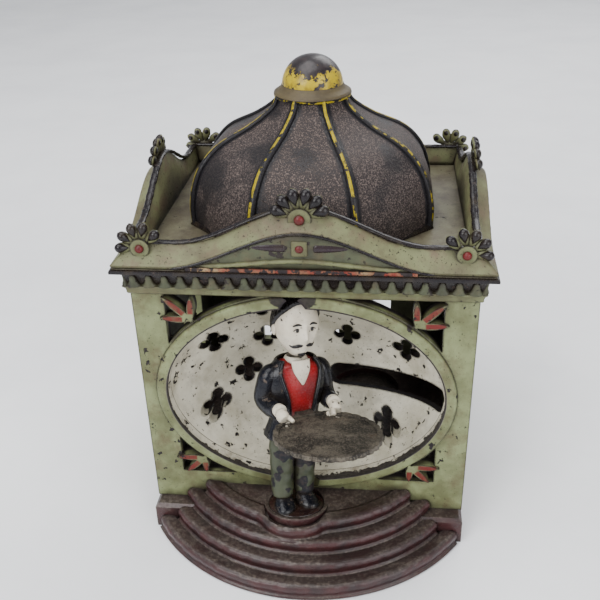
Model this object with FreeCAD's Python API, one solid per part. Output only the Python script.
"""Mechanical bank: a domed cash kiosk whose cashier swings a coin tray round to a slot.

Millimetres. +Z is up, the front faces -Y, and the origin is on the dome's axis where the
central boss meets the surface that the bank stands on.
"""
import FreeCAD, Part
import os
from math import cos, pi, radians, sin, sqrt

V = FreeCAD.Vector
X_AXIS = V(1, 0, 0)
Y_AXIS = V(0, 1, 0)
Z_AXIS = V(0, 0, 1)

# Building
BODY_W = 76.0            # across the outside of the side walls
BODY_D = 67.4            # from the front wall's face to the back wall's face
WALL = 2.6               # thickness of every wall casting
WALL_TOP = 67.0
STILE = 7.3              # plain border left at the side of a pierced panel

# Base casting
PLINTH_OUT = 3.9         # how far the plinth stands out in front and behind
PLINTH_W = BODY_W
PLINTH_D = BODY_D + 2 * PLINTH_OUT
PLINTH_H = 6.85
PLINTH_CHAMFER = 0.8
BASE_SKIN = 2.0          # top thickness of the base casting
BASE_RIM = 2.4           # thickness of its outer rim
STEP_COUNT = 4
PLATFORM_Z = 11.7        # top step
STEP_R_TOP = 31.6        # radius of the top step's edge
STEP_TREAD = 3.85
STEP_SETBACK = 19.5      # centre of the step arcs, behind the front wall's face
STEP_ROUND = 0.7
BOSS_R = 4.4             # central boss that takes the tie rod
BOSS_TOP = 10.0

# Oval recess
OVAL_Z = 38.9
OVAL_A = 32.4            # half width of the opening
OVAL_B = 24.1            # half height
OVAL_DEPTH = 21.0
BOWL_SKIN = 2.0
BEAD_W = 2.4             # raised bead round the opening
BEAD_H = 0.9
WINDOW_GAP = 0.5         # between the bead and a corner window
WINDOW_TOP = 65.0
WINDOW_LOW = 15.3
PETAL_H = 0.7            # how far a petal stands proud of the wall
PETAL_W = 0.85           # half width
PETAL_LAP = 0.8          # how far a petal's root runs on into the bead
LUG_R = 2.0
LUG_T = 1.5
LUG_ANGLE = 25.0
LUG_RIVET_R = 0.8
FOIL_LOBE_R = 1.3
FOIL_REACH = 1.95
FOILS = (                # x, z of each pierced quatrefoil in the bowl
    (-23.6, 44.8), (-23.6, 28.0), (-16.1, 34.3), (-11.7, 54.2), (-11.3, 43.5),
    (5.8, 55.3), (8.9, 44.3), (23.4, 44.1), (19.3, 24.0),
)
SLOT_H = 5.6
SLOT_FROM = 98.0         # azimuths of the slot's two rounded ends, about the figure's axis
SLOT_TO = 156.0

# Side and back windows
ARCH_W = 8.0
ARCH_H = 27.0
ARCH_Z = 14.0            # sill
ARCH_COUNT = 3
SIDE_PITCH = 14.0

# Roof
CORNICE_OUT = 3.2        # how far the slab stands out from the walls
CORNICE_FOOT = 0.4
COVE_TOP = 71.0
DECK_Z = 72.2
DECK_SKIN = 2.4
ROOF_HOLE_R = 24.0
TOOTH_R = 1.1
TOOTH_PITCH = 3.5
RIB_DROP = 2.0           # rib under the roof that locates it inside the walls
FIT = 0.15               # clearance between locating faces

# Pediments
PEDIMENT_T = 2.6
PEDIMENT_LEAN = 14.0
RIDGE_CENTRE = 13.2      # heights above the slab
RIDGE_SHOULDER = 9.6
RIDGE_WAIST = 6.2
RIDGE_END = 4.6
BAND_W = 4.2             # raking band, measured down from the ridge
TYMPANUM_DEPTH = 1.0
LOBE_R = 1.25
PALMETTE_R = 3.4
PALMETTE_HUB = 1.7

# Dome
DOME_SKIN = 1.8
DOME_PROFILE = (         # corner radius and height above the deck, up one rib
    (29.6, 0.0), (30.0, 4.6), (29.0, 10.0), (26.8, 14.4), (22.3, 18.7),
    (14.2, 22.6), (9.4, 26.0), (8.3, 28.4),
)
DOME_SIDES = 8
DOME_FOOT_R = 31.2
DOME_FOOT_H = 1.0
RIB_W = 1.5
RIB_OUT = 0.7
COLLAR_R = 9.0
COLLAR_H = 2.0
BALL_R = 7.1
FINIAL_TOP = 109.4

# Tie rod
ROD_R = 1.6
ROD_FOOT = 2.6
ROD_BORE = ROD_R + 0.25
THREAD_DEPTH = 5.0

# Coin trap
TRAP_PIVOT_Y = 8.2
TRAP_ARM = 15.4
TRAP_ANGLE = 35.0
TRAP_HOLE_R = 10.2
TRAP_LAP = 1.0
TRAP_T = 1.2
TRAP_GAP = 0.35
TRAP_EAR_R = 3.1
TRAP_SCREW_R = 1.3
TRAP_HEAD_R = 2.5
TRAP_HEAD_H = 1.1
RUNNING = 0.06           # radial clearance of a pin that turns

# Figure and its pivot, in a frame that leans back and turns with the figure
PIVOT_X = -2.0
PIVOT_OUT = 6.0          # in front of the front wall's face
PIVOT_Z = 12.2
LEAN = 13.3
FACING = 30.0            # turned towards the slot side at rest
DISC_R = 6.4
DISC_T = 3.4
DISC_GAP = 0.35
SHOE_MARGIN = 0.5        # disc showing outside the shoes
SPINDLE_R = 1.5
SPINDLE_END = -10.2
PIVOT_BOSS_R = DISC_R + 1.8
PIVOT_BOSS_END = -6.3
DISC_RIM = 0.8           # raised rim that stands round the disc
DISC_RIM_TOP = -0.3
STOP_ARM_L = 7.4
STOP_ARM_W = 3.0
STOP_ARM_TOP = -6.6
STOP_ARM_T = 0.8
STOP_R = 6.0             # radius at which the stop pins stand
STOP_PIN_R = 0.6
STOP_GAP = 0.3
SWING = 75.0
SPRING_H = 0.8
SPRING_T = 0.35
SPRING_TURNS = 2.5
SPRING_IN = SPINDLE_R + 0.6
SPRING_OUT = 5.0
SPRING_POST_R = 0.7
SPRING_AZIMUTH = 60.0    # where the post stands
NUT_R = 2.6
NUT_H = 1.4
TRAY_R = 11.9
TRAY_REACH = 17.0        # from the figure's axis to the tray's centre
TRAY_Z = 25.3
TRAY_T = 1.1
TRAY_DISH = 0.35
SCALLOPS = 30
SCALLOP_DEPTH = 0.35
TONGUE_W = 4.0
TRAY_RIVET_R = 0.8
HEAD_Z = 44.9
HEAD_RX = 5.4
HEAD_RY = 5.6
HEAD_RZ = 7.2
HEAD_CLEAR_R = 7.2
HEAD_CLEAR_TOP = 53.5
SHOULDER_X = 6.7
ARM_R = 2.0
HIP_X = 2.6
NECK_R = 2.2
FIGURE_RIVET_R = 0.8
SPLIT_Y = -0.45          # parting plane of the two half castings

FACADE_Y = -BODY_D / 2
INNER_FRONT = FACADE_Y + WALL
INNER_BACK = BODY_D / 2 - WALL
INNER_X = BODY_W / 2 - WALL
CEILING = PLINTH_H - BASE_SKIN


def box(x0, x1, y0, y1, z0, z1):
    """Box between two corners."""
    return Part.makeBox(x1 - x0, y1 - y0, z1 - z0, V(x0, y0, z0))


def cylinder(radius, base, axis, length):
    """Cylinder from a base point along an axis."""
    return Part.makeCylinder(radius, length, base, axis)


def ellipsoid(centre, rx, ry, rz):
    """Ellipsoid with its radii along X, Y and Z."""
    grow = FreeCAD.Matrix()
    grow.scale(rx, ry, rz)
    ball = Part.makeSphere(1.0).transformGeometry(grow)
    ball.translate(centre)
    return ball


def ellipse_wire(rx, ry, centre, place):
    """Closed ellipse in the XY plane, centred, then moved by a placement."""
    if rx >= ry:
        curve = Part.Ellipse(centre, rx, ry)
    else:
        curve = Part.Ellipse(V(centre.x, centre.y + ry, centre.z), V(centre.x + rx, centre.y, centre.z), centre)
    wire = Part.Wire([curve.toShape()])
    wire.Placement = place
    return wire


def oval_prism(a, b, y0, y1):
    """Prism along Y with the elliptical section of the recess."""
    wire = Part.Wire([Part.Ellipse(V(0, 0, 0), a, b).toShape()])
    solid = Part.Face(wire).extrude(V(0, 0, y0 - y1))
    solid.rotate(V(0, 0, 0), X_AXIS, 90)
    solid.translate(V(0, y0, OVAL_Z))
    return solid


def prism(points, direction):
    """Straight-sided prism from a closed outline."""
    return Part.Face(Part.makePolygon(points + [points[0]])).extrude(direction)


def fuse(shapes):
    """One solid from overlapping shapes."""
    return shapes[0].multiFuse(shapes[1:]).removeSplitter()


def tilted(shape, turned=True):
    """Moves a shape from the figure's own frame to its place on the platform."""
    moved = shape.copy()
    if turned:
        moved.rotate(V(0, 0, 0), Z_AXIS, FACING)
    moved.rotate(V(0, 0, 0), X_AXIS, -LEAN)
    moved.translate(V(PIVOT_X, FACADE_Y - PIVOT_OUT, PIVOT_Z))
    return moved


def around(radius, azimuth, height):
    """Point in the pivot's frame, with azimuth counted from -Y towards +X."""
    angle = radians(azimuth)
    return V(radius * sin(angle), -radius * cos(angle), height)


def axis_cylinder(radius, low, high, turned=False):
    """Cylinder on the figure's axis, between two heights along it."""
    return tilted(cylinder(radius, V(0, 0, low), Z_AXIS, high - low), turned)


# ---------------------------------------------------------------- base

def step_radius(index):
    """Edge radius of a step, counted from the bottom."""
    return STEP_R_TOP + (STEP_COUNT - 1 - index) * STEP_TREAD


def steps(inset, drop, back):
    """Stack of part-round steps in front of a plane, shrunk by a wall thickness."""
    centre = V(0, FACADE_Y + STEP_SETBACK, 0)
    rise = PLATFORM_Z / STEP_COUNT
    layers = []
    for index in range(STEP_COUNT):
        height = (index + 1) * rise - drop
        if height <= 0.4:
            continue
        layer = cylinder(step_radius(index) - inset, centre, Z_AXIS, height)
        if drop == 0:
            layer = layer.makeFillet(STEP_ROUND, [edge for edge in layer.Edges if edge.BoundBox.ZMin > height - 0.01])
        layers.append(layer)
    reach = step_radius(0) + 1
    side = PLINTH_W / 2 - PLINTH_CHAMFER - inset
    front = box(-side, side, FACADE_Y + STEP_SETBACK - reach, back, -1, PLATFORM_Z + 1)
    return fuse(layers).common(front)


def trap_centre():
    """Centre of the hole that the coins leave by."""
    angle = radians(TRAP_ANGLE)
    return V(TRAP_ARM * cos(angle), TRAP_PIVOT_Y + TRAP_ARM * sin(angle), 0)


def stop_azimuths():
    """Azimuths of the two stop pins, either side of the stop arm's travel."""
    lead = (STOP_ARM_W / 2 + STOP_PIN_R + STOP_GAP) / STOP_R * 180 / pi
    return (180 - lead, 180 + SWING + lead)


def stop_pin(azimuth):
    """Pin that stands down from the pivot boss."""
    low = STOP_ARM_TOP - STOP_ARM_T
    foot = around(STOP_R, azimuth, low)
    return tilted(cylinder(STOP_PIN_R, foot, Z_AXIS, PIVOT_BOSS_END + 1.5 - low), False)


def spring_post():
    """Pin that holds the outer end of the return spring."""
    foot = around(SPRING_OUT + SPRING_POST_R, SPRING_AZIMUTH, STOP_ARM_TOP - STOP_ARM_T - 0.2 - SPRING_H)
    return tilted(cylinder(SPRING_POST_R, foot, Z_AXIS, PIVOT_BOSS_END + 1.5 - foot.z), False)


def base_steps():
    """Plinth and steps in one hollow casting, with bosses for the tie rod and the pivot."""
    half_w = PLINTH_W / 2
    half_d = PLINTH_D / 2
    plinth = box(-half_w, half_w, -half_d, half_d, 0, PLINTH_H)
    plinth = plinth.makeChamfer(PLINTH_CHAMFER, [e for e in plinth.Edges if e.BoundBox.ZMin > PLINTH_H - 0.01])
    outside = fuse([plinth, steps(0, 0, FACADE_Y)])
    room = box(-half_w + BASE_RIM, half_w - BASE_RIM, -half_d + BASE_RIM, half_d - BASE_RIM, -1, CEILING)
    room = room.fuse(steps(BASE_RIM, BASE_SKIN, FACADE_Y - BASE_SKIN / 2))
    shell = outside.cut(room)
    under_platform = outside.common(box(-half_w, half_w, -2 * half_d, FACADE_Y, 0, PLATFORM_Z))
    pivot_boss = axis_cylinder(PIVOT_BOSS_R, PIVOT_BOSS_END, 4).common(under_platform)
    rim = axis_cylinder(DISC_R + DISC_GAP + DISC_RIM, PIVOT_BOSS_END, DISC_RIM_TOP)
    rim = rim.common(box(-half_w, half_w, -2 * half_d, FACADE_Y, 0, 2 * PLATFORM_Z))
    tie_boss = cylinder(BOSS_R, V(0, 0, 0), Z_AXIS, BOSS_TOP)
    screw_boss = cylinder(TRAP_EAR_R, V(0, TRAP_PIVOT_Y, CEILING), Z_AXIS, BASE_SKIN + 2)
    body = fuse([shell, pivot_boss, rim, tie_boss, screw_boss])
    holes = [
        axis_cylinder(DISC_R + DISC_GAP, -DISC_T - DISC_GAP, 8),
        axis_cylinder(SPINDLE_R + RUNNING, -12, 0),
        cylinder(ROD_R, V(0, 0, ROD_FOOT), Z_AXIS, BOSS_TOP),
        cylinder(TRAP_HOLE_R, trap_centre(), Z_AXIS, 2 * PLINTH_H),
        cylinder(TRAP_SCREW_R, V(0, TRAP_PIVOT_Y, 0), Z_AXIS, PLINTH_H + 1),
        spring_post(),
    ]
    holes += [stop_pin(azimuth) for azimuth in stop_azimuths()]
    for hole in holes:
        body = body.cut(hole)
    return body


# ---------------------------------------------------------------- walls

def bowl_inside():
    """Hollow of the recess: half an ellipsoid behind the front wall's face."""
    whole = ellipsoid(V(0, FACADE_Y, OVAL_Z), OVAL_A, OVAL_DEPTH, OVAL_B)
    return whole.common(box(-BODY_W, BODY_W, FACADE_Y, BODY_D, 0, 2 * OVAL_Z))


def head_room():
    """Space that the figure's head turns in, which notches the lip of the recess."""
    return axis_cylinder(HEAD_CLEAR_R, HEAD_Z - 8, HEAD_CLEAR_TOP)


def corner_window(side, up):
    """Pierced three-cornered panel between the oval and a corner of the wall."""
    outer = BODY_W / 2 - STILE
    top = WINDOW_TOP - OVAL_Z if up > 0 else OVAL_Z - WINDOW_LOW
    block = box(0, outer, FACADE_Y - 5, INNER_FRONT + 5, OVAL_Z, OVAL_Z + top)
    grow = BEAD_W + WINDOW_GAP
    panel = block.cut(oval_prism(OVAL_A + grow, OVAL_B + grow, FACADE_Y - 6, INNER_FRONT + 6))
    centre = V(0, 0, OVAL_Z)
    if side < 0:
        panel = panel.mirror(centre, X_AXIS)
    if up < 0:
        panel = panel.mirror(centre, Z_AXIS)
    return panel


def leaf_prism(length, half_width, depth):
    """Pointed leaf along X, extruded along Y."""
    root = V(0, 0, 0)
    tip = V(length, 0, 0)
    upper = Part.Arc(root, V(length / 2, 0, half_width), tip).toShape()
    lower = Part.Arc(tip, V(length / 2, 0, -half_width), root).toShape()
    return Part.Face(Part.Wire([upper, lower])).extrude(V(0, depth, 0))


def petals(side, up):
    """Three leaf-shaped petals that fan out across a corner window."""
    if up > 0:
        rise = 20.1
        fan = ((2, 7.0), (42, 8.4), (92, 5.7))
    else:
        rise = 18.9
        fan = ((2, 7.0), (44, 6.6), (92, 4.5))
    root = V(side * 24.9, 0, OVAL_Z + up * rise)
    leaves = []
    for angle, length in fan:
        leaf = leaf_prism(length + PETAL_LAP, PETAL_W, WALL + PETAL_H)
        leaf.translate(V(-PETAL_LAP, 0, 0))
        leaf.rotate(V(0, 0, 0), Y_AXIS, -angle)
        if side < 0:
            leaf = leaf.mirror(V(0, 0, 0), X_AXIS)
        if up < 0:
            leaf = leaf.mirror(V(0, 0, 0), Z_AXIS)
        leaf.translate(root + V(0, FACADE_Y - PETAL_H, 0))
        leaves.append(leaf)
    return leaves


def lug_places():
    """Centres of the four lugs that hold the bowl behind the wall."""
    a = OVAL_A + BOWL_SKIN + LUG_R - 1.2
    b = OVAL_B + BOWL_SKIN + LUG_R - 1.2
    places = []
    for angle in (LUG_ANGLE, 180 - LUG_ANGLE, 180 + LUG_ANGLE, 360 - LUG_ANGLE):
        turn = radians(angle)
        places.append(V(a * cos(turn), INNER_FRONT, OVAL_Z + b * sin(turn)))
    return places


def lug_rivet(place):
    """Blind rivet from a bowl lug into the wall."""
    shank = cylinder(LUG_RIVET_R, place - V(0, WALL / 2, 0), Y_AXIS, WALL / 2 + LUG_T)
    head = cylinder(2 * LUG_RIVET_R, place + V(0, LUG_T, 0), Y_AXIS, 0.7)
    return shank.fuse(head)


def front_wall():
    """Front casting with the oval opening, its bead and four pierced corners."""
    half = BODY_W / 2
    wall = box(-half, half, FACADE_Y, INNER_FRONT, PLINTH_H, WALL_TOP)
    bead = oval_prism(OVAL_A + BEAD_W, OVAL_B + BEAD_W, FACADE_Y - BEAD_H, FACADE_Y + 1)
    bead = bead.makeFillet(BEAD_H * 0.9, [e for e in bead.Edges if e.BoundBox.YMax < FACADE_Y - BEAD_H + 0.01])
    wall = wall.fuse(bead)
    corners = [(side, up) for side in (-1, 1) for up in (-1, 1)]
    for side, up in corners:
        wall = wall.cut(corner_window(side, up))
    leaves = []
    for side, up in corners:
        leaves += petals(side, up)
    wall = fuse([wall] + leaves)
    wall = wall.cut(bowl_inside())
    wall = wall.cut(oval_prism(OVAL_A - 0.3, OVAL_B - 0.3, FACADE_Y - 5, FACADE_Y + 0.5))
    wall = wall.cut(head_room())
    wall = wall.cut(axis_cylinder(DISC_R + DISC_GAP, -DISC_T - DISC_GAP, 8))
    for place in lug_places():
        wall = wall.cut(lug_rivet(place))
    floor_step = steps(0, 0, FACADE_Y)
    return wall.cut(floor_step)


def quatrefoil(x, z):
    """Cutter for a four-lobed hole through the bowl."""
    lobes = [cylinder(FOIL_LOBE_R, V(x, FACADE_Y + 4, z), Y_AXIS, BODY_D / 2)]
    for dx, dz in ((1, 0), (-1, 0), (0, 1), (0, -1)):
        spot = V(x + dx * FOIL_REACH, FACADE_Y + 4, z + dz * FOIL_REACH)
        lobes.append(cylinder(FOIL_LOBE_R, spot, Y_AXIS, BODY_D / 2))
    return fuse(lobes)


def coin_slot():
    """Cutter for the coin slot: a round-ended band swept about the figure's axis."""
    reach = 2 * OVAL_A
    inner = 12.0
    middle = TRAY_Z + 0.4
    low = middle - SLOT_H / 2
    band = Part.makeCylinder(reach, SLOT_H, V(0, 0, low), Z_AXIS, SLOT_TO - SLOT_FROM)
    band.rotate(V(0, 0, 0), Z_AXIS, SLOT_FROM - 90)
    ends = []
    for azimuth in (SLOT_FROM, SLOT_TO):
        ends.append(cylinder(SLOT_H / 2, around(inner, azimuth, middle), around(1, azimuth, 0), reach - inner))
    slot = band.cut(cylinder(inner, V(0, 0, low - 1), Z_AXIS, SLOT_H + 2)).fuse(ends[0]).fuse(ends[1])
    return tilted(slot, False)


def recess_bowl():
    """Thin half-ellipsoid bowl behind the oval, pierced by quatrefoils and the coin slot."""
    outer = ellipsoid(V(0, FACADE_Y, OVAL_Z), OVAL_A + BOWL_SKIN, OVAL_DEPTH + BOWL_SKIN, OVAL_B + BOWL_SKIN)
    behind = box(-INNER_X, INNER_X, INNER_FRONT, BODY_D, PLINTH_H + 1, WALL_TOP - RIB_DROP - 0.2)
    bowl = outer.common(behind)
    for place in lug_places():
        bowl = bowl.fuse(cylinder(LUG_R, place, Y_AXIS, LUG_T).common(behind))
    bowl = bowl.cut(bowl_inside())
    for x, z in FOILS:
        bowl = bowl.cut(quatrefoil(x, z))
    bowl = bowl.cut(coin_slot()).cut(head_room())
    for place in lug_places():
        bowl = bowl.cut(lug_rivet(place))
    return max(bowl.Solids, key=lambda solid: solid.Volume)


def arch_hole(u):
    """Cutter for a round-headed window with a quatrefoil over it, through a plate across Y."""
    spring_line = ARCH_Z + ARCH_H - ARCH_W / 2
    depth = 2 * BODY_D
    body = box(u - ARCH_W / 2, u + ARCH_W / 2, -BODY_D, BODY_D, ARCH_Z, spring_line)
    head = cylinder(ARCH_W / 2, V(u, -BODY_D, spring_line), Y_AXIS, depth)
    shapes = [body, head]
    top = (ARCH_Z + ARCH_H + WALL_TOP - RIB_DROP) / 2
    for dx, dz in ((0, 0), (1, 0), (-1, 0), (0, 1), (0, -1)):
        shapes.append(cylinder(FOIL_LOBE_R, V(u + dx * FOIL_REACH, -BODY_D, top + dz * FOIL_REACH), Y_AXIS, depth))
    return shapes


def pierced_plate(width, pitch):
    """Wall plate across Y with a row of round-headed windows, its back face at y = 0."""
    plate = box(-width / 2, width / 2, 0, WALL, PLINTH_H, WALL_TOP)
    for index in range(ARCH_COUNT):
        for cutter in arch_hole((index - (ARCH_COUNT - 1) / 2) * pitch):
            plate = plate.cut(cutter)
    return plate


def back_wall():
    """Back casting, pierced with windows."""
    wall = pierced_plate(BODY_W, SIDE_PITCH * BODY_W / BODY_D)
    wall.translate(V(0, INNER_BACK, 0))
    return wall


def side_wall(side):
    """Side casting that stands between the front and back walls."""
    wall = pierced_plate(INNER_BACK - INNER_FRONT, SIDE_PITCH)
    wall.rotate(V(0, 0, 0), Z_AXIS, 90)
    if side > 0:
        wall.translate(V(BODY_W / 2, 0, 0))
    else:
        wall.translate(V(-INNER_X, 0, 0))
    return wall


# ---------------------------------------------------------------- roof

def rectangle(half_x, half_y, z):
    """Closed rectangle at one height."""
    corners = [V(-half_x, -half_y, z), V(half_x, -half_y, z), V(half_x, half_y, z), V(-half_x, half_y, z)]
    return Part.makePolygon(corners + [corners[0]])


def teeth(half_long, half_out, along_x):
    """Row of bell-shaped teeth under one edge of the slab."""
    count = int(2 * half_long / TOOTH_PITCH)
    row = []
    for index in range(count):
        u = (index - (count - 1) / 2) * TOOTH_PITCH
        spot = V(u, half_out, WALL_TOP) if along_x else V(half_out, u, WALL_TOP)
        row.append(Part.makeCone(TOOTH_R, TOOTH_R * 0.75, COVE_TOP - WALL_TOP + 0.2, spot, Z_AXIS))
    return row


def roof_cornice():
    """Roof casting: coved slab with a row of teeth, open under the dome."""
    half_x = BODY_W / 2
    half_y = BODY_D / 2
    foot = rectangle(half_x + CORNICE_FOOT, half_y + CORNICE_FOOT, WALL_TOP)
    lip = rectangle(half_x + CORNICE_OUT, half_y + CORNICE_OUT, COVE_TOP)
    cove = Part.makeLoft([foot, lip], True, True)
    slab = box(-half_x - CORNICE_OUT, half_x + CORNICE_OUT, -half_y - CORNICE_OUT, half_y + CORNICE_OUT,
               COVE_TOP, DECK_Z)
    rib = box(-INNER_X + FIT, INNER_X - FIT, INNER_FRONT + FIT, INNER_BACK - FIT, WALL_TOP - RIB_DROP, WALL_TOP)
    shapes = [cove, slab, rib]
    for way in (-1, 1):
        shapes += teeth(half_x, way * (half_y + TOOTH_R), True)
        shapes += teeth(half_y, way * (half_x + TOOTH_R), False)
    roof = fuse(shapes)
    room = box(-INNER_X + WALL, INNER_X - WALL, INNER_FRONT + WALL, INNER_BACK - WALL,
               WALL_TOP - RIB_DROP - 1, DECK_Z - DECK_SKIN)
    roof = roof.cut(room).cut(head_room())
    return roof.cut(cylinder(ROOF_HOLE_R, V(0, 0, WALL_TOP), Z_AXIS, BODY_D))


def ridge_points(half, drop):
    """Ogee line over one side of the roof, lowered by a distance."""
    right = [
        (0.0, RIDGE_CENTRE), (0.20, RIDGE_CENTRE - 1.0), (0.36, RIDGE_SHOULDER),
        (0.56, RIDGE_WAIST), (0.76, RIDGE_END + 0.6), (1.0, RIDGE_END),
    ]
    line = [(-share * half, height - drop) for share, height in reversed(right[1:])]
    line += [(share * half, height - drop) for share, height in right]
    return line


def under_ridge(half, drop, y0, y1):
    """Prism below the ogee line, standing on z = 0."""
    points = [V(x, y0, max(z, 0.3)) for x, z in ridge_points(half, drop)]
    curve = Part.BSplineCurve()
    curve.interpolate(points)
    left = V(points[0].x, y0, 0)
    right = V(points[-1].x, y0, 0)
    edges = [curve.toShape(), Part.makeLine(points[-1], right), Part.makeLine(right, left),
             Part.makeLine(left, points[0])]
    return Part.Face(Part.Wire(edges)).extrude(V(0, y1 - y0, 0))


def palmette(x, z, lobes):
    """Fan of round lobes about a domed hub."""
    shapes = [cylinder(PALMETTE_HUB, V(x, -0.5, z), Y_AXIS, PEDIMENT_T)]
    for index in range(lobes):
        angle = radians(-20 + 220 * index / (lobes - 1))
        tip = V(x + PALMETTE_R * cos(angle), -0.3, z + PALMETTE_R * sin(angle))
        shapes.append(cylinder(LOBE_R, tip, Y_AXIS, PEDIMENT_T * 0.8))
        shapes.append(cylinder(LOBE_R * 0.8, V((tip.x + x) / 2, -0.3, (tip.z + z) / 2), Y_AXIS, PEDIMENT_T * 0.8))
    return shapes


def pediment(half, out, corners):
    """Ogee parapet for one side, built facing -Y and leaning back from the slab's edge."""
    body = under_ridge(half, 0, 0, PEDIMENT_T)
    panel = under_ridge(half - 4, BAND_W, -1, TYMPANUM_DEPTH)
    body = body.cut(panel)
    shapes = [body] + palmette(0, RIDGE_CENTRE - 1.4, 6)
    if corners:
        for side in (-1, 1):
            shapes += palmette(side * (half - 6.2), RIDGE_END + 0.2, 5)
    screen = fuse(shapes)
    screen.rotate(V(0, 0, 0), X_AXIS, -PEDIMENT_LEAN)
    screen.translate(V(0, -out + 0.5, DECK_Z))
    return screen.common(box(-half - 6, half + 6, -out - 1, 0, DECK_Z, DECK_Z + 40))


def pediments():
    """The four parapets, the side ones trimmed to meet the front and back ones."""
    half_x = BODY_W / 2 + CORNICE_OUT - 0.3
    half_y = BODY_D / 2 + CORNICE_OUT - 0.3
    front = pediment(half_x, BODY_D / 2 + CORNICE_OUT, True)
    back = front.copy()
    back.rotate(V(0, 0, 0), Z_AXIS, 180)
    side = pediment(half_y, BODY_W / 2 + CORNICE_OUT, False)
    right = side.copy()
    right.rotate(V(0, 0, 0), Z_AXIS, 90)
    left = side.copy()
    left.rotate(V(0, 0, 0), Z_AXIS, -90)
    sides = [screen.cut(front).cut(back) for screen in (left, right)]
    left, right = [max(screen.Solids, key=lambda solid: solid.Volume) for screen in sides]
    return front, back, left, right


def octagon(radius, z):
    """Closed octagon with a flat side towards the front."""
    corners = []
    for index in range(DOME_SIDES + 1):
        angle = 2 * pi * (index + 0.5) / DOME_SIDES
        corners.append(V(radius * cos(angle), radius * sin(angle), z))
    return Part.makePolygon(corners)


def dome_rib(index):
    """Raised rib up one corner of the dome."""
    angle = 360 * (index + 0.5) / DOME_SIDES
    sections = []
    for radius, height in DOME_PROFILE:
        outer = radius + RIB_OUT
        inner = radius - DOME_SKIN / 2
        z = DECK_Z + height
        corners = [V(inner, -RIB_W / 2, z), V(outer, -RIB_W / 3, z), V(outer, RIB_W / 3, z), V(inner, RIB_W / 2, z)]
        sections.append(Part.makePolygon(corners + [corners[0]]))
    rib = Part.makeLoft(sections, True, False)
    rib.rotate(V(0, 0, 0), Z_AXIS, angle)
    return rib


def dome_top():
    """Height of the dome's flat top, under the collar."""
    return DECK_Z + DOME_PROFILE[-1][1]


def dome():
    """Hollow eight-sided ogee dome with a rib at each corner."""
    outer = Part.makeLoft([octagon(r, DECK_Z + h) for r, h in DOME_PROFILE], True, False)
    inner_sections = [octagon(r - DOME_SKIN, DECK_Z + h - DOME_SKIN) for r, h in DOME_PROFILE]
    inner = Part.makeLoft(inner_sections, True, False)
    foot = Part.Face(octagon(DOME_FOOT_R, DECK_Z)).extrude(V(0, 0, DOME_FOOT_H))
    shell = fuse([outer, foot] + [dome_rib(index) for index in range(DOME_SIDES)])
    shell = shell.common(box(-BODY_W, BODY_W, -BODY_W, BODY_W, DECK_Z, dome_top()))
    shell = shell.cut(inner)
    shell = shell.cut(cylinder(ROOF_HOLE_R, V(0, 0, DECK_Z - 1), Z_AXIS, DOME_SKIN + 2))
    return shell.cut(cylinder(ROD_BORE, V(0, 0, DECK_Z), Z_AXIS, BODY_D))


def dome_collar():
    """Turned ring between the dome and the finial."""
    z0 = dome_top()
    ring = cylinder(COLLAR_R, V(0, 0, z0), Z_AXIS, COLLAR_H)
    ring = ring.makeFillet(COLLAR_H * 0.4, [ring.Edges[0], ring.Edges[2]])
    return ring.cut(cylinder(ROD_BORE, V(0, 0, z0 - 1), Z_AXIS, COLLAR_H + 2))


def finial():
    """Ball nut that clamps the building together."""
    ball = Part.makeSphere(BALL_R, V(0, 0, FINIAL_TOP - BALL_R))
    z0 = dome_top() + COLLAR_H
    neck = cylinder(BALL_R * 0.9, V(0, 0, z0), Z_AXIS, 2)
    nut = ball.fuse(neck).common(box(-BALL_R, BALL_R, -BALL_R, BALL_R, z0, FINIAL_TOP))
    return nut.cut(cylinder(ROD_R, V(0, 0, z0 - 1), Z_AXIS, THREAD_DEPTH + 1))


def tie_rod():
    """Rod from the base boss up into the finial."""
    top = dome_top() + COLLAR_H + THREAD_DEPTH
    return cylinder(ROD_R, V(0, 0, ROD_FOOT), Z_AXIS, top - ROD_FOOT)


# ---------------------------------------------------------------- coin trap

def coin_trap():
    """Swinging cover under the coin hole."""
    top = CEILING - TRAP_GAP
    low = top - TRAP_T
    centre = trap_centre()
    pivot = V(0, TRAP_PIVOT_Y, low)
    radius = TRAP_HOLE_R + TRAP_LAP
    plate = cylinder(radius, V(centre.x, centre.y, low), Z_AXIS, TRAP_T)
    ear = cylinder(TRAP_EAR_R, pivot, Z_AXIS, TRAP_T)
    arm = box(0, TRAP_ARM, -TRAP_EAR_R, TRAP_EAR_R, low, top)
    arm.rotate(V(0, 0, 0), Z_AXIS, TRAP_ANGLE)
    arm.translate(V(0, TRAP_PIVOT_Y, 0))
    grip = cylinder(1.6, V(centre.x * 1.4, centre.y * 1.25, low - 0.9), Z_AXIS, 1.0)
    cover = fuse([plate, ear, arm, grip])
    return cover.cut(cylinder(TRAP_SCREW_R + RUNNING, pivot - V(0, 0, 1), Z_AXIS, TRAP_T + 2))


def trap_screw():
    """Shouldered screw that the cover swings on."""
    low = CEILING - TRAP_GAP - TRAP_T - 0.1
    shank = cylinder(TRAP_SCREW_R, V(0, TRAP_PIVOT_Y, low), Z_AXIS, PLINTH_H - low)
    head = cylinder(TRAP_HEAD_R, V(0, TRAP_PIVOT_Y, low - TRAP_HEAD_H), Z_AXIS, TRAP_HEAD_H)
    slit = box(-TRAP_HEAD_R, TRAP_HEAD_R, TRAP_PIVOT_Y - 0.3, TRAP_PIVOT_Y + 0.3, low - TRAP_HEAD_H - 1,
               low - TRAP_HEAD_H / 2)
    return shank.fuse(head).cut(slit)


# ---------------------------------------------------------------- figure

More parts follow.
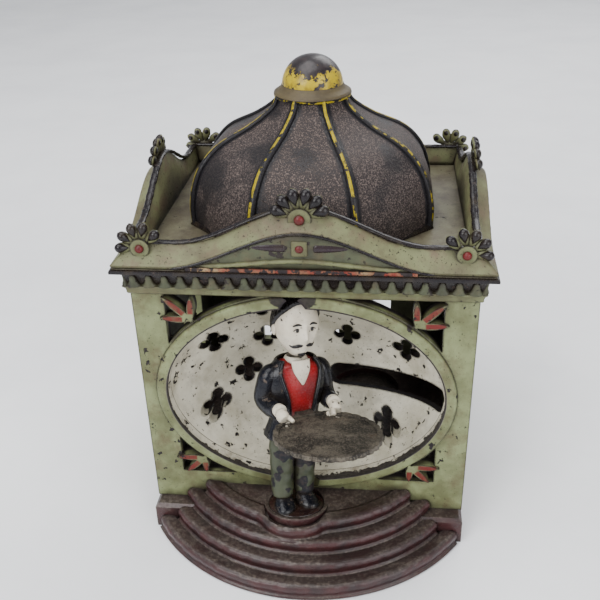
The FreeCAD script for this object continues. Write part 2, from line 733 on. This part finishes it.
def ellipse_loft(sections):
    """Rounded body through ellipses given as height, x, y, half width and half depth."""
    wires = []
    for z, x, y, rx, ry in sections:
        wires.append(ellipse_wire(rx, ry, V(0, 0, 0), FreeCAD.Placement(V(x, y, z), FreeCAD.Rotation())))
    return Part.makeLoft(wires, True, False)


def limb(start, end, radius):
    """Round limb with ball ends."""
    way = end - start
    return [cylinder(radius, start, way, way.Length), Part.makeSphere(radius, start), Part.makeSphere(radius, end)]


def figure_solid():
    """Whole cashier in the figure's own frame: shoes, trousers, coat, arms and head."""
    shapes = []
    for side in (-1, 1):
        shoe = ellipsoid(V(side * 3.0, -1.3, 1.2), 2.4, 4.3, 2.2)
        shapes.append(shoe.common(cylinder(DISC_R - SHOE_MARGIN, V(0, 0, 0), Z_AXIS, 5)))
        shapes.append(ellipse_loft([
            (1.0, side * HIP_X, 0.6, 2.2, 2.3), (8.0, side * HIP_X, 0.5, 2.2, 2.4),
            (20.0, side * HIP_X * 0.9, 0.2, 2.8, 3.4)]))
        elbow = V(side * (SHOULDER_X + 0.7), 1.2, 27.6)
        wrist = V(side * 6.4, -7.2, 27.2)
        shapes += limb(V(side * SHOULDER_X, 0.4, 33.8), elbow, ARM_R)
        shapes += limb(elbow, wrist, ARM_R * 0.9)
        shapes.append(ellipsoid(V(side * 6.2, -9.2, TRAY_Z + 1.2), 1.7, 2.6, 1.2))
    shapes.append(ellipse_loft([
        (17.0, 0, 0.3, 5.6, 4.5), (22.0, 0, 0.2, 5.2, 4.1), (28.0, 0, 0.1, 5.6, 4.2),
        (33.0, 0, 0.2, 6.6, 4.2), (36.0, 0, 0.3, 4.6, 3.2), (37.4, 0, 0.3, 2.8, 2.7)]))
    shapes.append(cylinder(NECK_R, V(0, 0.3, 36), Z_AXIS, 4))
    shapes.append(ellipsoid(V(0, 0, HEAD_Z), HEAD_RX, HEAD_RY, HEAD_RZ))
    return fuse(shapes)


def figure_rivet(height):
    """Cutter and solid of a rivet that joins the two half castings."""
    return tilted(cylinder(FIGURE_RIVET_R, V(0, -2.6, height), Y_AXIS, 5.6))


def figure_half(whole, front):
    """Front or back half casting of the cashier."""
    low, high = (-20, SPLIT_Y) if front else (SPLIT_Y, 20)
    half = tilted(whole.common(box(-20, 20, low, high, 0, 60)))
    for height in (22.0, 33.0):
        half = half.cut(figure_rivet(height))
    return half


def pedestal_disc():
    """Round foot plate that turns in the platform."""
    disc = cylinder(DISC_R, V(0, 0, -DISC_T), Z_AXIS, DISC_T)
    disc = disc.makeFillet(0.5, [edge for edge in disc.Edges if edge.BoundBox.ZMin > -0.01])
    return tilted(disc.cut(cylinder(SPINDLE_R, V(0, 0, -DISC_T - 1), Z_AXIS, DISC_T + 0.2)))


def spindle():
    """Pin that carries the foot plate, down through the platform's boss."""
    return axis_cylinder(SPINDLE_R, SPINDLE_END, -0.8)


def coin_tray(whole):
    """Scalloped round tray with a tongue that butts against the figure's waistcoat."""
    edges = []
    step = 2 * pi / SCALLOPS
    low_r = TRAY_R - SCALLOP_DEPTH
    for index in range(SCALLOPS):
        a0 = index * step
        points = [V(low_r * cos(a0), low_r * sin(a0), 0),
                  V(TRAY_R * cos(a0 + step / 2), TRAY_R * sin(a0 + step / 2), 0),
                  V(low_r * cos(a0 + step), low_r * sin(a0 + step), 0)]
        edges.append(Part.Arc(*points).toShape())
    plate = Part.Face(Part.Wire(edges)).extrude(V(0, 0, TRAY_T))
    plate = plate.cut(cylinder(TRAY_R - 1.3, V(0, 0, TRAY_T - TRAY_DISH), Z_AXIS, 1))
    plate.translate(V(0, -TRAY_REACH, TRAY_Z - TRAY_T))
    tongue = box(-TONGUE_W / 2, TONGUE_W / 2, -TRAY_REACH + TRAY_R - 1, -2, TRAY_Z - TRAY_T, TRAY_Z)
    tray = plate.fuse(tongue).cut(whole)
    tray = max(tray.Solids, key=lambda solid: solid.Volume)
    return tilted(tray).cut(tray_rivets())


def tray_rivets():
    """Two rivets that pin the figure's hands to the tray."""
    pins = []
    for side in (-1, 1):
        pins.append(cylinder(TRAY_RIVET_R, V(side * 6.2, -9.4, TRAY_Z - TRAY_T - 0.4), Z_AXIS, TRAY_T + 1.4))
    return tilted(Part.makeCompound(pins))


def stop_arm():
    """Short lever on the spindle that meets the stop pins."""
    low = STOP_ARM_TOP - STOP_ARM_T
    lever = box(-STOP_ARM_W / 2, STOP_ARM_W / 2, 0, STOP_ARM_L, low, STOP_ARM_TOP)
    hub = cylinder(NUT_R, V(0, 0, low), Z_AXIS, STOP_ARM_T)
    return tilted(hub.fuse(lever).cut(cylinder(SPINDLE_R, V(0, 0, -20), Z_AXIS, 20)), False)


def return_spring():
    """Flat spiral spring between the spindle and its post."""
    def turn_at(share, shift):
        radius = SPRING_IN + (SPRING_OUT - SPRING_IN) * share + shift
        return around(radius, SPRING_AZIMUTH + 360 * SPRING_TURNS * (share - 1), 0)

    count = 60
    inner = Part.BSplineCurve()
    inner.interpolate([turn_at(i / count, 0) for i in range(count + 1)])
    outer = Part.BSplineCurve()
    outer.interpolate([turn_at(i / count, SPRING_T) for i in range(count + 1)])
    caps = [Part.makeLine(turn_at(1, 0), turn_at(1, SPRING_T)), Part.makeLine(turn_at(0, SPRING_T), turn_at(0, 0))]
    strip = Part.Face(Part.Wire([inner.toShape(), caps[0], outer.toShape(), caps[1]])).extrude(V(0, 0, SPRING_H))
    strip.translate(V(0, 0, STOP_ARM_TOP - STOP_ARM_T - 0.2 - SPRING_H))
    return tilted(strip, False).cut(spring_post())


def spindle_nut():
    """Six-sided nut that keeps the spindle in its boss."""
    top = STOP_ARM_TOP - STOP_ARM_T - 0.2 - SPRING_H - 0.2
    corners = [around(NUT_R, 60 * index, top - NUT_H) for index in range(6)]
    nut = prism(corners, V(0, 0, NUT_H))
    return tilted(nut.cut(cylinder(SPINDLE_R, V(0, 0, -20), Z_AXIS, 20)))


def save(name, shape):
    """Writes one sub-part as a STEP file."""
    shape.exportStep("parts/" + name + ".step")


def main():
    """Builds every sub-part."""
    os.makedirs("parts", exist_ok=True)
    front, back, left, right = pediments()
    cashier = figure_solid()
    save("base_steps", base_steps())
    save("front_wall", front_wall())
    save("recess_bowl", recess_bowl())
    save("bowl_rivets", Part.makeCompound([lug_rivet(place) for place in lug_places()]))
    save("left_wall", side_wall(-1))
    save("right_wall", side_wall(1))
    save("back_wall", back_wall())
    save("roof_cornice", roof_cornice())
    save("front_pediment", front)
    save("back_pediment", back)
    save("left_pediment", left)
    save("right_pediment", right)
    save("dome", dome())
    save("dome_collar", dome_collar())
    save("finial", finial())
    save("tie_rod", tie_rod())
    save("coin_trap", coin_trap())
    save("trap_screw", trap_screw())
    save("stop_pins", Part.makeCompound([stop_pin(azimuth) for azimuth in stop_azimuths()]))
    save("spring_post", spring_post())
    save("return_spring", return_spring())
    save("pedestal_disc", pedestal_disc())
    save("spindle", spindle())
    save("stop_arm", stop_arm())
    save("spindle_nut", spindle_nut())
    rivets = tray_rivets()
    save("figure_front", figure_half(cashier, True).cut(rivets))
    save("figure_back", figure_half(cashier, False))
    save("figure_rivets", Part.makeCompound([figure_rivet(height) for height in (22.0, 33.0)]))
    save("coin_tray", coin_tray(cashier))
    save("tray_rivets", rivets)


main()
